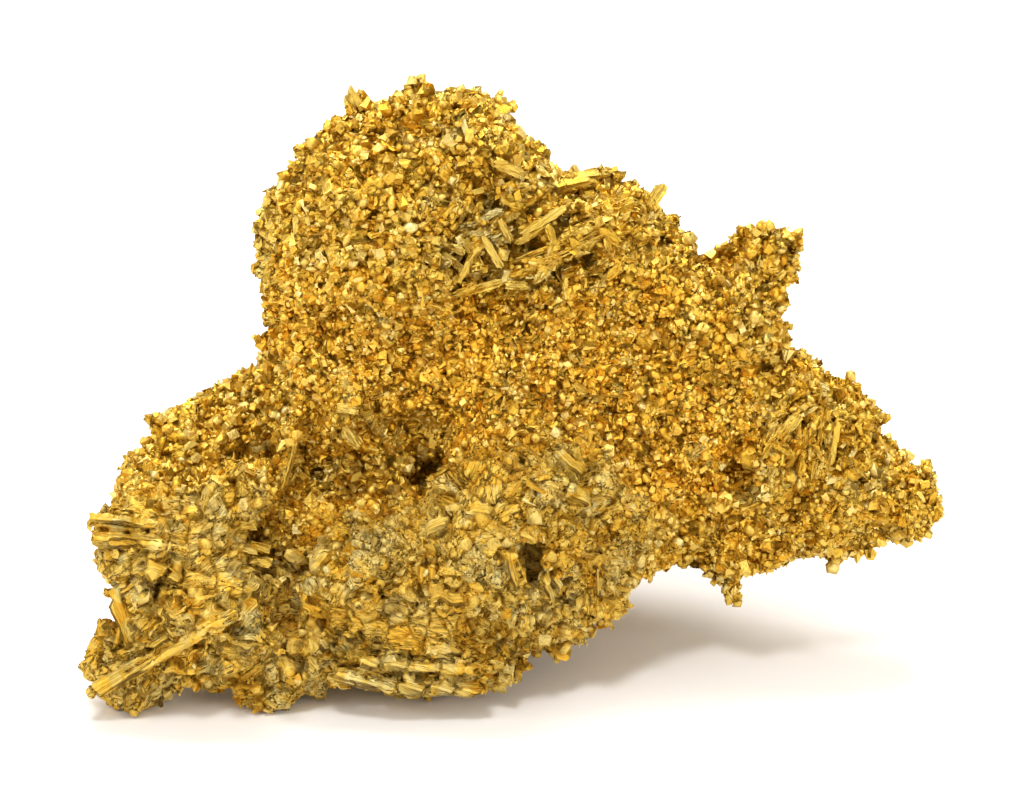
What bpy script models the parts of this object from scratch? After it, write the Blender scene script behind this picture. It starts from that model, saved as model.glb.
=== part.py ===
"""A crystalline gold specimen: one mass of native gold, grown all over with small crystals.

Metres, +Z up. The origin is on the resting plane, under the middle of the mass.
+X runs towards the long arm, -Y is the front shelf, +Y is the back.
"""

import math
import random

import bmesh
import bpy
from mathutils import Euler, Matrix, Vector

MM = 0.001

# Driving dimensions, in millimetres.
VOXEL = 1.5  # the grid on which the lumps flow together
SMOOTH_ROUNDS = 4
SWELL_SIZE, SWELL_HEIGHT = 9.0, 4.2  # the broad swells of the surface
KNOB_SIZE, KNOB_HEIGHT = 4.2, 2.2  # the clots of crystals that the swells are made of
BODY_FACES = 1560
TIP_RISE = (0.25, 0.75)  # height of a crystal tip, as a share of the width it stands on
TIP_HEIGHT = 0.9  # what the tips add to the lumps, on average

CRYSTALS = 42
CRYSTAL_SIZE = (3.0, 5.2)  # across the corners
CRYSTAL_SPACING = 9.0
CRYSTAL_BURIED = 0.3  # share of a crystal's size that lies under the surface
CRYSTAL_LEAN = 0.5  # radians, at most
SCATTERED_LATHS = 8
LATH_LENGTH, LATH_WIDTH, LATH_THICKNESS = (8.0, 13.0), (1.8, 2.8), 1.9
LATH_REACH = 36.0  # no scattered lath lies further out than this
SEED = 19
MIDDLE = (0.55, 2.84)  # where the middle of the finished mass lies among the lumps

GOLD_COLOUR = (0.78, 0.50, 0.12, 1.0)
GOLD_ROUGHNESS = 0.35

# Each lump is (x, y, z) of its middle and (x, y, z) of its half widths, in millimetres.
CROWN = {
    "crown": ((-14.3, 6, 59.5), (16.8, 15.5, 15.7)),
    "crown_top": ((-7.5, 4, 68.5), (11.0, 11, 9.0)),
    "crown_knob": ((-13.2, 4, 74.4), (6.2, 5, 4.2)),
    "crown_brow": ((-24.5, 6, 67.5), (4.8, 7, 4.6)),
    "crown_right": ((-0.5, 5, 64.5), (6.0, 9, 7)),
    "crown_left": ((-28.4, 7, 54.5), (6.0, 11, 11)),
    "crown_foot": ((-26.2, 6, 46.0), (5.8, 11, 8)),
}
RIDGE = {
    "ridge": ((9.2, 6, 55.7), (14, 12, 9.6)),
    "ridge_right": ((18.5, 5, 51.0), (8.5, 10, 8.5)),
    "saddle": ((25.5, 4, 46.5), (9, 10, 8)),
    "horn": ((33.7, 3, 56.0), (4.8, 5.5, 6.6)),
    "horn_base": ((31.5, 4, 47.5), (6.0, 9, 8)),
}
BODY = {
    "heart": ((1.0, 10, 41.0), (25, 18, 20)),
    "heart_right": ((21.5, 6, 32.5), (16, 15, 15)),
    "heart_left": ((-21.5, 8, 36.0), (13, 16, 16)),
    "belly": ((15.5, 1, 23.5), (13.5, 14, 10.3)),
    "valley": ((-22.5, -1, 19.0), (15, 12, 10)),
    "core": ((-15.0, 3, 14.0), (27, 19, 10.5)),
}
ARM = {
    "arm_root": ((36.2, 2, 31.2), (9.3, 11, 8.8)),
    "arm_brow": ((38.2, 4, 38.6), (3.2, 5, 3.2)),
    "arm_top": ((45.4, 2, 31.4), (5.8, 8, 6.2)),
    "arm": ((43.0, 1, 22.8), (12.5, 10.5, 10.3)),
    "arm_tip": ((51.7, 0, 21.8), (6.0, 8, 6.5)),
    "arm_under": ((32.0, 0, 17.2), (10.0, 9.5, 6.4)),
    "arm_nub": ((30.2, -2, 10.3), (3.4, 4.0, 4)),
}
SHOULDER = {
    "shoulder": ((-41.2, 6, 27.2), (9.6, 11, 8.0)),
    "shoulder_top": ((-35.6, 8, 30.4), (6.3, 10, 7.0)),
    "shoulder_end": ((-47.9, 0, 24.2), (4.7, 8, 5.6)),
}
SHELF = {
    "shelf_left": ((-45.7, -12, 20.7), (10.8, 10, 7.0)),
    "shelf_left_face": ((-41.0, -16, 12.0), (12.2, 9, 10)),
    "shelf_toe": ((-51.6, -17, 5.6), (6.3, 7, 6.0)),
    "shelf_left_foot": ((-49.3, -17.2, 3.0), (4.6, 6.2, 5.0)),
    "shelf_left_low": ((-42.5, -15.0, 5.6), (7.5, 6.5, 5.5)),
    "shelf_hump": ((-36.0, -10, 27.0), (5, 6, 5)),
    "shelf_seam": ((-28.5, -14.4, 8.9), (9, 8, 7.4)),
    "shelf_tab": ((-32.2, -18.6, 2.5), (5.4, 4.6, 4.0)),
    "shelf_peak": ((3.0, -8, 28.5), (12.5, 9, 8.5)),
    "shelf_dip": ((-17.5, -13, 14.0), (13, 9, 9.5)),
    "shelf_middle": ((-4.0, -13, 19.5), (14, 10, 11)),
    "shelf_low": ((-11.0, -14.4, 7.1), (13, 8.6, 7.8)),
    "shelf_right": ((6.0, -9, 14.2), (10.6, 10, 9.4)),
    "shelf_end": ((17.2, -4, 18.2), (8.4, 8, 6.0)),
}
BACK = {
    "back": ((-4, 19, 33.5), (26, 13, 20)),
    "back_right": ((21, 15, 33.5), (15, 11, 12)),
    "back_left": ((-26, 17, 25.5), (14, 12, 14)),
    "back_low": ((-14, 17, 15.5), (22, 13, 11)),
    "back_foot": ((0, 21, 6.0), (8, 7.5, 9.0)),
    "back_left_foot": ((-31, 16, 6.0), (8, 7.5, 9.0)),
}
LUMPS = {**CROWN, **RIDGE, **BODY, **ARM, **SHOULDER, **SHELF, **BACK}
LUMP_DETAIL = 3

# Each lath is a blade that lies along the front: its two ends, its width and its thickness.
LATHS = {
    "long_lath": ((-54.8, -23.0, 4.2), (-34.8, -24.8, 16.6), 2.5, 3.2),
    "side_log_top": ((-54.8, -15.0, 25.3), (-45.0, -19.4, 25.9), 2.2, 3.0),
    "side_log_low": ((-54.0, -16.8, 23.2), (-44.5, -20.8, 24.0), 2.3, 3.0),
    "upright_lath": ((-27.9, -6.6, 38.0), (-30.6, -8.9, 27.4), 1.6, 2.8),
    "step_low": ((-16.5, -23.2, 5.4), (-3.0, -22.9, 4.6), 2.6, 2.8),
    "step_left": ((-23.0, -22.1, 6.6), (-14.5, -23.4, 5.0), 2.4, 2.6),
    "step_top": ((-19.6, -22.9, 8.4), (-4.0, -23.3, 7.7), 2.0, 2.6),
    "seam_lath": ((-39.2, -24.7, 13.0), (-30.0, -22.8, 11.5), 1.7, 2.6),
    "rib_top": ((1.2, -3.6, 60.2), (7.2, -1.5, 64.6), 2.6, 2.8),
    "rib_middle": ((4.4, -5.3, 58.8), (12.8, -4.9, 62.2), 2.4, 2.8),
    "rib_low": ((-1.0, -4.6, 54.6), (12.6, -5.6, 61.4), 1.9, 2.8),
    "rib_crest": ((6.8, 4.5, 65.6), (13.6, 5.0, 66.2), 1.9, 4.6),
    "ridge_blade": ((17.0, 4.2, 61.2), (19.9, 4.8, 64.4), 2.8, 2.0),
    "arm_lath_left": ((32.4, -9.0, 31.4), (37.6, -9.1, 37.6), 2.2, 2.6),
    "arm_lath_middle": ((37.3, -10.2, 28.9), (38.7, -9.1, 35.9), 1.5, 2.8),
    "arm_lath_right": ((39.4, -10.2, 28.8), (40.8, -8.2, 36.8), 1.5, 2.8),
}
LATH_FACING = (0, -0.94, 0.34)

# Each pit is an eight-sided hollow: its middle, its half widths and its turn about Y.
PITS = {
    "slot": ((2.9, -21.0, 20.6), (1.5, 6.5, 4.0), 0.12),
    "slot_deep": ((1.9, -20.0, 22.6), (1.4, 6.0, 2.2), 0.0),
    "seam": ((-29.4, -19.5, 14.5), (1.7, 6.5, 5.0), -0.1),
    "seam_mouth": ((-27.6, -17.5, 18.6), (3.6, 5.5, 2.8), 0.2),
    "seam_low": ((-29.4, -21.8, 8.4), (4.2, 3.6, 1.3), 0.6),
    "valley_left": ((-21.4, -7.5, 28.5), (4.5, 4.5, 3.6), 0.5),
    "valley_right": ((-13.0, -5.5, 34.0), (4.5, 4.0, 3.2), -0.7),
    "crown_pit": ((-2.6, -5.6, 64.2), (2.7, 5.0, 2.0), 0.1),
    "crown_slit": ((-6.4, -7.0, 56.5), (1.3, 4.5, 4.6), 0.1),
    "rib_pit": ((5.4, -2.2, 62.4), (2.3, 4.0, 1.3), -0.3),
    "rib_shade": ((9.7, -5.4, 56.8), (2.0, 3.5, 1.6), 0.3),
    "ridge_pit": ((20.6, -2.4, 58.8), (2.3, 4.0, 1.8), 0.3),
    "arm_pit": ((30.4, -6.5, 28.2), (2.2, 4.5, 2.4), 0.3),
    "arm_shade": ((46.5, -9.5, 27.5), (2.6, 3.2, 2.0), -0.4),
    "toe_pit": ((-41.5, -24.6, 6.0), (2.0, 3.6, 2.4), 0.5),
    "side_pit": ((-45.5, -21.8, 18.2), (2.0, 3.2, 2.8), 0.2),
    "back_pit": ((-8.0, 31.0, 38.0), (4.0, 5.0, 5.5), 0.4),
    "back_slit": ((14.0, 27.0, 28.0), (1.8, 6.0, 6.0), -0.5),
    "back_hollow": ((-30.0, 28.0, 30.0), (4.5, 5.0, 3.0), 0.3),
}


def clear_scene():
    for obj in list(bpy.data.objects):
        bpy.data.objects.remove(obj)


def new_object(name, bm):
    mesh = bpy.data.meshes.new(name)
    bm.to_mesh(mesh)
    bm.free()
    obj = bpy.data.objects.new(name, mesh)
    bpy.context.scene.collection.objects.link(obj)
    return obj


def lumps_object():
    """All the lumps, overlapping, in one mesh."""
    bm = bmesh.new()
    for middle, half in LUMPS.values():
        half = [h - TIP_HEIGHT for h in half]
        place = Matrix.LocRotScale(Vector(middle) * MM, None, Vector(half) * MM)
        bmesh.ops.create_icosphere(bm, subdivisions=LUMP_DETAIL, radius=1.0, matrix=place)
    return new_object("gold_specimen", bm)


def texture(name, kind, size):
    made = bpy.data.textures.new(name, kind)
    made.noise_scale = size * MM
    return made


def add_relief(obj, name, tex, height):
    relief = obj.modifiers.new(name, "DISPLACE")
    relief.texture = tex
    relief.texture_coords = "LOCAL"
    relief.strength = height * MM
    relief.mid_level = 0.5


def in_order(mesh):
    """The same mesh, its corners listed by place and its faces by their corners.

    A Boolean lists them differently each time, and what follows depends on the order.
    """
    by_place = sorted(mesh.vertices, key=lambda vert: tuple(vert.co))
    rank = {vert.index: number for number, vert in enumerate(by_place)}
    faces = []
    for face in mesh.polygons:
        corners = [rank[index] for index in face.vertices]
        first = corners.index(min(corners))
        faces.append(corners[first:] + corners[:first])
    ordered = bpy.data.meshes.new(mesh.name)
    ordered.from_pydata([vert.co for vert in by_place], [], sorted(faces))
    return ordered


def apply_modifiers(obj):
    """Replaces the object's mesh with what its modifiers make of it."""
    graph = bpy.context.evaluated_depsgraph_get()
    shaped = bpy.data.meshes.new_from_object(obj.evaluated_get(graph))
    obj.modifiers.clear()
    obj.data = in_order(shaped)


def rough_body():
    obj = lumps_object()
    fuse = obj.modifiers.new("fuse", "REMESH")
    fuse.mode = "VOXEL"
    fuse.voxel_size = VOXEL * MM
    settle = obj.modifiers.new("settle", "SMOOTH")
    settle.factor = 0.5
    settle.iterations = SMOOTH_ROUNDS
    swells = texture("swells", "CLOUDS", SWELL_SIZE)
    knobs = texture("knobs", "VORONOI", KNOB_SIZE)
    add_relief(obj, "swells", swells, SWELL_HEIGHT)
    add_relief(obj, "knobs", knobs, -KNOB_HEIGHT)
    apply_modifiers(obj)
    thin = obj.modifiers.new("thin", "DECIMATE")
    thin.ratio = BODY_FACES / (2 * len(obj.data.polygons))
    apply_modifiers(obj)
    return obj


def raise_tips(body):
    """Draws the middle of each facet out into a three-sided tip, the corner of a crystal."""
    rng = random.Random(SEED)
    bm = bmesh.new()
    bm.from_mesh(body.data)
    for face in list(bm.faces):
        rise = rng.uniform(*TIP_RISE) * math.sqrt(face.calc_area())
        tip = face.calc_center_median() + face.normal * rise
        top = bmesh.ops.poke(bm, faces=[face])["verts"][0]
        top.co = tip
    bm.to_mesh(body.data)
    bm.free()


def hidden_piece(name, bm, group):
    """A closed piece that only serves a Boolean."""
    piece = new_object(name, bm)
    piece.hide_render = True
    piece.display_type = "WIRE"
    bpy.context.scene.collection.objects.unlink(piece)
    group.objects.link(piece)


def new_group(name):
    group = bpy.data.collections.new(name)
    bpy.context.scene.collection.children.link(group)
    return group


def combine(body, operation, group):
    step = body.modifiers.new(group.name, "BOOLEAN")
    step.operation = operation
    step.operand_type = "COLLECTION"
    step.collection = group
    step.solver = "EXACT"
    apply_modifiers(body)


def sink_pits(body):
    group = new_group("pits")
    for name, (middle, half, turn) in PITS.items():
        place = Matrix.LocRotScale(
            Vector(middle) * MM, Euler((0, turn, 0)), Vector(half) * MM
        )
        bm = bmesh.new()
        bmesh.ops.create_uvsphere(bm, u_segments=6, v_segments=4, radius=1.0, matrix=place)
        hidden_piece(f"pit_{name}", bm, group)
    combine(body, "DIFFERENCE", group)


def surface_spots(obj, count, spacing, seed):
    """Spots spread over the surface, each a (place, normal), no two closer than spacing."""
    rng = random.Random(seed)
    faces = list(obj.data.polygons)
    areas = [f.area for f in faces]
    spots = []
    for face in rng.choices(faces, areas, k=count * 12):
        place = face.center
        if all((place - other).length > spacing * MM for other, _ in spots):
            spots.append((place.copy(), face.normal.copy()))
        if len(spots) == count:
            break
    return spots


def octahedron(bm, size):
    bmesh.ops.create_uvsphere(bm, u_segments=4, v_segments=2, radius=size / 2)


def blunt_cube(bm, size):
    """A cube with its corners cut off, as gold grows between cube and octahedron."""
    made = bmesh.ops.create_cube(bm, size=size * 0.72)
    bmesh.ops.bevel(
        bm, geom=made["verts"], offset=size * 0.2, affect="VERTICES", segments=1, profile=0.5
    )


def plate(bm, size):
    """A six-sided tablet, flat on the twin plane."""
    bmesh.ops.create_cone(
        bm,
        cap_ends=True,
        segments=6,
        radius1=size * 0.55,
        radius2=size * 0.42,
        depth=size * 0.42,
    )


def lath(bm, length, width, thickness):
    """A six-sided blade along X, with blunt ends."""
    bmesh.ops.create_cone(
        bm, cap_ends=True, segments=6, radius1=0.5, radius2=0.38, depth=1.0,
        matrix=Matrix.Diagonal((length, width, thickness, 1))
        @ Matrix.Rotation(math.pi / 2, 4, "Y"),
    )


def add_laths(body, group):
    laths = []
    for start, end, width, thickness in LATHS.values():
        laths.append((Vector(start) * MM, Vector(end) * MM, Vector(LATH_FACING), width, thickness))
    rng = random.Random(SEED)
    for place, normal in surface_spots(body, 60, 9.0, SEED + 1):
        if normal.y < 0.3 or abs(place.x) > LATH_REACH * MM:
            continue  # the front has its own laths, and the ends stay blunt
        if len(laths) == len(LATHS) + SCATTERED_LATHS:
            break
        along = normal.cross(Vector([rng.uniform(-1, 1) for _ in range(3)])).normalized()
        half = along * rng.uniform(*LATH_LENGTH) / 2 * MM
        laths.append((place - half, place + half, normal, rng.uniform(*LATH_WIDTH), LATH_THICKNESS))
    for number, (start, end, facing, width, thickness) in enumerate(laths):
        along = (end - start).normalized()
        across = facing.cross(along).normalized()
        frame = Matrix((along, across, along.cross(across))).transposed().to_4x4()
        bm = bmesh.new()
        lath(bm, (end - start).length, width * MM, thickness * MM)
        bmesh.ops.transform(
            bm, matrix=Matrix.Translation((start + end) / 2) @ frame, verts=bm.verts
        )
        hidden_piece(f"lath_{number:02d}", bm, group)


def add_crystals(body, group):
    rng = random.Random(SEED)
    kinds = (octahedron, blunt_cube, octahedron, plate)
    spots = surface_spots(body, CRYSTALS, CRYSTAL_SPACING, SEED)
    for number, (place, normal) in enumerate(spots):
        size = rng.uniform(*CRYSTAL_SIZE) * MM
        leans = [rng.uniform(-CRYSTAL_LEAN, CRYSTAL_LEAN) for _ in range(2)]
        turn = Euler((*leans, rng.uniform(0, math.tau))).to_matrix()
        upright = normal.to_track_quat("Z", "Y").to_matrix()
        rise = normal * size * (0.5 - CRYSTAL_BURIED)
        bm = bmesh.new()
        kinds[number % len(kinds)](bm, size)
        matrix = Matrix.Translation(place + rise) @ (upright @ turn).to_4x4()
        bmesh.ops.transform(bm, matrix=matrix, verts=bm.verts)
        hidden_piece(f"crystal_{number:03d}", bm, group)


def cut_feet_flat(body):
    """Cuts off what is under the resting plane, which leaves a flat under each foot."""
    group = new_group("floor_cut")
    bm = bmesh.new()
    bmesh.ops.create_cube(bm, size=0.4, matrix=Matrix.Translation((0, 0, -0.2)))
    hidden_piece("floor_block", bm, group)
    combine(body, "DIFFERENCE", group)


def keep_one_mass(body):
    """Drops any crystal that lost its hold, such as one over a pit."""
    bm = bmesh.new()
    bm.from_mesh(body.data)
    left = set(bm.verts)
    masses = []
    while left:
        queue = [left.pop()]
        mass = []
        while queue:
            vert = queue.pop()
            mass.append(vert)
            for edge in vert.link_edges:
                other = edge.other_vert(vert)
                if other in left:
                    left.remove(other)
                    queue.append(other)
        masses.append(mass)
    masses.sort(key=len)
    for loose in masses[:-1]:
        bmesh.ops.delete(bm, geom=loose, context="VERTS")
    bm.to_mesh(body.data)
    bm.free()


def gold():
    """Native gold, a little dull on its crystal faces."""
    material = bpy.data.materials.new("native_gold")
    material.use_nodes = True
    shader = material.node_tree.nodes["Principled BSDF"]
    shader.inputs["Base Color"].default_value = GOLD_COLOUR
    shader.inputs["Metallic"].default_value = 1.0
    shader.inputs["Roughness"].default_value = GOLD_ROUGHNESS
    return material


def main():
    clear_scene()
    body = rough_body()
    raise_tips(body)
    sink_pits(body)
    growth = new_group("growth")
    add_laths(body, growth)
    add_crystals(body, growth)
    combine(body, "UNION", growth)
    cut_feet_flat(body)
    keep_one_mass(body)
    body.data.transform(Matrix.Translation((-MIDDLE[0] * MM, -MIDDLE[1] * MM, 0)))
    body.data.materials.clear()
    body.data.materials.append(gold())


main()
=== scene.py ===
"""Looks of a crystalline gold specimen.

The mass of gold is a skin broken into tilted plates, and thousands of separate crystals, leaves and
laths grow on it. Everything is metres, in the frame of the solid model: +Z up, -Y the front.
"""

import math

import bmesh
import bpy
import numpy as np
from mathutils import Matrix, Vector, noise
from mathutils.kdtree import KDTree


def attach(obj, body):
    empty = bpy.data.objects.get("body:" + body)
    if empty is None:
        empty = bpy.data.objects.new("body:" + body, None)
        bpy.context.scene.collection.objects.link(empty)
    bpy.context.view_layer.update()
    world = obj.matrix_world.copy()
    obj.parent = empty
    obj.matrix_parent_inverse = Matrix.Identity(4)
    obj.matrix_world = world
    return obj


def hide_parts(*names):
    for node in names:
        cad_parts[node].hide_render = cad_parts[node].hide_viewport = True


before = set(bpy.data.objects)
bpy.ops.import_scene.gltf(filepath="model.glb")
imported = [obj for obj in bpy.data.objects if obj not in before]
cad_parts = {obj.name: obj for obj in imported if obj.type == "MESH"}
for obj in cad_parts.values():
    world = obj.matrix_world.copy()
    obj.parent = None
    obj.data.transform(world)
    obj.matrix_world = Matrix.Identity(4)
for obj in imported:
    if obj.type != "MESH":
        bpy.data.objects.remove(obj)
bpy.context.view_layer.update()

MM = 0.001
NODE = "gold_specimen"
SEED = 7
BAKE_MAP = "OFBake"
TINT = "tint"  # lightness, warmth and dullness, each 0.5 where nothing is added
GROWTH = "growth"  # place along, across and up from a crystal's own middle, in metres
# How far the tints of a skin's plates, of the laths and of the crystals spread.
PLATE_TINTS, LATH_TINTS, CRYSTAL_TINTS = (0.09, 0.08, 0.09), (0.06, 0.06, 0.06), (0.13, 0.11, 0.13)

# The skins: each covers a part of the solid, and has its own grid size, depth inside the solid,
# smoothing, plates and facets.
SHELF_CUT_Y, SHELF_CUT_Z = -10.0 * MM, 38.0 * MM  # the shelf is in front of and below these
BACK_CUT_Y = 4.0 * MM  # the back is behind this
SKIN_OVERLAP = 1.5 * MM
FRONT_VOXEL, BACK_VOXEL, SHELF_VOXEL = 0.43 * MM, 0.70 * MM, 0.318 * MM
MASS_DEPTH, SHELF_DEPTH = 0.45 * MM, 0.30 * MM
SKIN_SMOOTHING = 3
SEAM = 0.3 * MM  # how far the front reaches past the cut to the back
CUT_TOLERANCE = 0.75 * MM  # within this of a cut, a skin's faces are the cut's
CUT_FLATNESS = math.radians(8)
# The face of a cut, but not its rim, is pushed on into the gold behind, so that it never shows.
CUT_RIM, CUT_PUSHED = 0.12 * MM, 1.3 * MM
CREASE = math.radians(60)  # the shelf's folds that are sharper than this stay sharp

# What breaks a skin up, from coarse to fine: how far apart, how wide and deep the cracks are,
# how much each piece is lifted, and how steeply it is tilted.
MASS_BREAKS = (
    dict(spacing=3.6 * MM, crack=0.9 * MM, depth=0.9 * MM, lift=0.40 * MM, tilt=0.25),
    dict(spacing=1.15 * MM, crack=0.42 * MM, depth=0.38 * MM, lift=0.22 * MM, tilt=0.62),
)
SHELF_BREAKS = (
    dict(spacing=4.0 * MM, crack=0.42 * MM, depth=0.70 * MM, lift=0.34 * MM, tilt=0.21),
    dict(spacing=1.7 * MM, crack=0.30 * MM, depth=0.36 * MM, lift=0.15 * MM, tilt=0.28),
)
WARP_SIZE, WARP_REACH = 1.1 * MM, 0.40 * MM  # how the cracks wander
CRUMPLE_SIZE, CRUMPLE_HEIGHT = 0.75 * MM, 0.16 * MM
MASS_LOOSE, SHELF_LOOSE = 0.05 * MM, 0.015 * MM  # how unevenly the points of a skin lie
# Growth lines and the fine cracks along them: spacing, how far they are drawn out, height, depth.
LINE_SIZE, LINE_STRETCH, LINE_HEIGHT = 0.85 * MM, 0.11, 0.28 * MM
SPLIT_SIZE, SPLIT_STRETCH, SPLIT_DEPTH = 2.6 * MM, 0.45, 0.50 * MM
# A lath that lies in the skin: how far it stands out, its grooves' depth and spacing, and how
# far outside it the crack around it runs, and how deep.
BED_LIFT, BED_GROOVE, BED_GROOVE_SIZE = 0.32 * MM, 0.24 * MM, 0.42 * MM
BED_EDGE, BED_EDGE_DEPTH = 0.28 * MM, 0.70 * MM
# How much lower the plates and the facets are where the gold lies in layers, and by how much
# more than there the growth lines are shortened elsewhere.
CALM = (0.80, 0.35)
SHORTENED = 4.0

# Where the finish changes: leafy in front of the first, grainy behind the second.
SHELF_FRONT, SHELF_BACK = -15.5, -11.5
SHELF_TOP, SHELF_FADE = 35.0, 4.0
# Middle and radius of each patch, in millimetres.
WARM_PATCHES = (
    ((-25.5, -8.0, 47.0), 13.0),
    ((-7.5, -7.0, 42.0), 13.0),
    ((8.5, -8.0, 45.0), 14.0),
    ((24.5, -7.0, 33.0), 13.0),
    ((17.5, -7.0, 52.0), 9.0),
)
SILVERY_PATCHES = (
    ((-0.2, -11.0, 38.5), 3.0),
    ((-26.0, -23.5, 19.5), 3.0),
    ((-33.0, -26.0, 14.0), 2.5),
)
LAYERED_PATCHES = (
    ((-46.0, -24.0, 15.0), 21.0),
    ((-14.0, -26.0, 7.0), 12.0),
    ((-26.0, -23.0, 12.0), 10.0),
    ((-6.0, -20.0, 29.0), 8.0),
)
# Middle, radius and height of each dent in the solid that is filled up, in millimetres.
FILLED = (
    ((-46.0, -24.6, 18.2), 4.0, 1.4),
    ((-42.0, -27.4, 6.0), 4.0, 0.9),
    ((-25.6, -20.6, 19.6), 3.2, 1.2),
    ((-31.8, -21.4, 17.6), 3.2, 1.1),
    ((-30.0, -24.0, 8.4), 3.6, 0.7),
    ((-29.9, -17.2, 13.0), 3.2, 1.3),
)
SLABBY_PATCHES = (
    ((2.0, -5.0, 60.0), 10.0),
    ((10.0, -4.0, 61.0), 8.0),
    ((-6.0, -6.0, 58.0), 6.0),
    ((37.0, -9.0, 32.0), 6.0),
)
# Middle and radius in millimetres of each patch where long crystals lie one way, and that way.
GROWTH_WAYS = (
    ((4.0, -6.0, 59.0), 17.0, (0.90, 0.0, 0.42)),
    ((38.0, -9.0, 31.0), 10.0, (0.35, 0.1, 0.93)),
    ((-45.0, -24.0, 14.0), 22.0, (0.84, 0.0, 0.54)),
    ((-12.0, -26.0, 8.0), 18.0, (0.98, 0.0, -0.2)),
    ((-50.0, -18.0, 26.0), 9.0, (1.0, -0.2, 0.1)),
)

# Deep hollows, where nothing grows: middle and half widths, in millimetres.
HOLLOWS = (
    ((2.3, -23.8, 20.6), (1.3, 6.5, 3.4)),
    ((1.3, -22.8, 22.8), (1.1, 6.0, 1.6)),
    ((-29.9, -22.3, 14.5), (0.9, 6.5, 3.6)),
    ((-28.4, -20.3, 18.6), (2.4, 5.5, 1.5)),
    ((-30.0, -24.6, 8.4), (2.6, 3.6, 0.7)),
    ((-21.9, -10.3, 28.5), (3.6, 4.5, 2.4)),
    ((-13.5, -8.3, 34.0), (3.4, 4.0, 2.0)),
    ((-3.1, -8.4, 64.2), (2.2, 5.0, 1.4)),
    ((-6.9, -9.8, 56.5), (0.9, 4.5, 3.6)),
    ((4.9, -5.0, 62.4), (1.9, 4.0, 0.9)),
    ((9.2, -8.2, 56.8), (1.5, 3.5, 1.1)),
    ((20.1, -5.2, 58.8), (1.9, 4.0, 1.3)),
    ((29.9, -9.3, 28.2), (1.4, 4.5, 1.6)),
)
HOLLOW_DEPTH = 0.7 * MM  # how much deeper the skin lies in them


# ------------ small helpers


def linear(hex_colour):
    """An sRGB colour such as "E8B84F" as linear RGBA."""
    parts = [int(hex_colour[i : i + 2], 16) / 255 for i in (0, 2, 4)]
    made = [c / 12.92 if c <= 0.04045 else ((c + 0.055) / 1.055) ** 2.4 for c in parts]
    return (*made, 1.0)


def add_node(tree, kind, settings=(), **links):
    """Adds a node; each setting is a socket's value or a property, each link an output."""
    made = tree.nodes.new(kind)
    for name, value in dict(settings).items():
        if isinstance(name, int) or name in made.inputs:
            made.inputs[name].default_value = value
        else:
            setattr(made, name, value)
    for name, output in links.items():
        socket = made.inputs[int(name[1:])] if name[0] == "_" else made.inputs[name]
        tree.links.new(output, socket)
    return made


def deselect_all():
    for obj in bpy.context.selected_objects:
        obj.select_set(False)


def make_active(obj):
    deselect_all()
    obj.select_set(True)
    bpy.context.view_layer.objects.active = obj


def apply_all(obj):
    make_active(obj)
    for modifier in list(obj.modifiers):
        bpy.ops.object.modifier_apply(modifier=modifier.name)


def edit_mesh(obj, work):
    """Runs the work on the object in edit mode, with everything selected at first."""
    make_active(obj)
    bpy.ops.object.mode_set(mode="EDIT")
    bpy.ops.mesh.select_all(action="SELECT")
    work()
    bpy.ops.object.mode_set(mode="OBJECT")


def pick(obj, keep):
    """Selects, in edit mode, the vertices that keep says yes to."""
    bpy.ops.mesh.select_mode(type="VERT")
    bpy.ops.mesh.select_all(action="DESELECT")
    bm = bmesh.from_edit_mesh(obj.data)
    for vert in bm.verts:
        vert.select = keep(vert.co)
    bm.select_flush_mode()
    bmesh.update_edit_mesh(obj.data)


def move(obj, keep, way):
    pick(obj, keep)
    bpy.ops.transform.translate(value=way)


def resize(obj, keep, share):
    pick(obj, keep)
    bpy.ops.transform.resize(value=share)


def shaped(work):
    """Runs the work on the newest object in edit mode, and returns the object."""
    obj = bpy.context.object
    edit_mesh(obj, lambda: work(obj))
    return obj


def finish_piece(obj, material):
    obj.data.materials.clear()
    obj.data.materials.append(material)
    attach(obj, "root")


def ramp(value, low, high):
    return np.clip((value - low) / (high - low), 0.0, 1.0)


def unit(vectors):
    return vectors / np.maximum(np.linalg.norm(vectors, axis=-1, keepdims=True), 1e-12)


# ------------ where each finish is


def shelf_share(places):
    """1 on the leafy front shelf, 0 on the grainy rest."""
    forward = ramp(places[:, 1] / MM, SHELF_BACK, SHELF_FRONT)
    below = 1 - ramp(places[:, 2] / MM, SHELF_TOP, SHELF_TOP + SHELF_FADE)
    return forward * below


def patch_share(places, patches):
    """How far each place is inside the nearest of the patches, fading to its rim."""
    best = np.zeros(len(places))
    for middle, radius in patches:
        apart = np.linalg.norm(places / MM - np.array(middle), axis=1)
        best = np.maximum(best, 1 - ramp(apart, 0.5 * radius, radius))
    return best


def layered_share(places):
    """1 where the gold lies in layers, 0 where it is grainy."""
    return np.minimum(patch_share(places, LAYERED_PATCHES) * 1.6, 1)


def in_hollows(places):
    inside = np.zeros(len(places), bool)
    for middle, half in HOLLOWS:
        apart = (places / MM - np.array(middle)) / np.array(half)
        inside |= np.linalg.norm(apart, axis=1) < 1
    return inside


# ------------ the skins


def solid_copy(name):
    """A copy of the solid model, its loose triangles joined."""
    copy = bpy.data.objects.new(name, bpy.data.objects[NODE].data.copy())
    bpy.context.scene.collection.objects.link(copy)
    copy.data.materials.clear()
    edit_mesh(copy, lambda: bpy.ops.mesh.remove_doubles(threshold=1e-6))
    return copy


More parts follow.
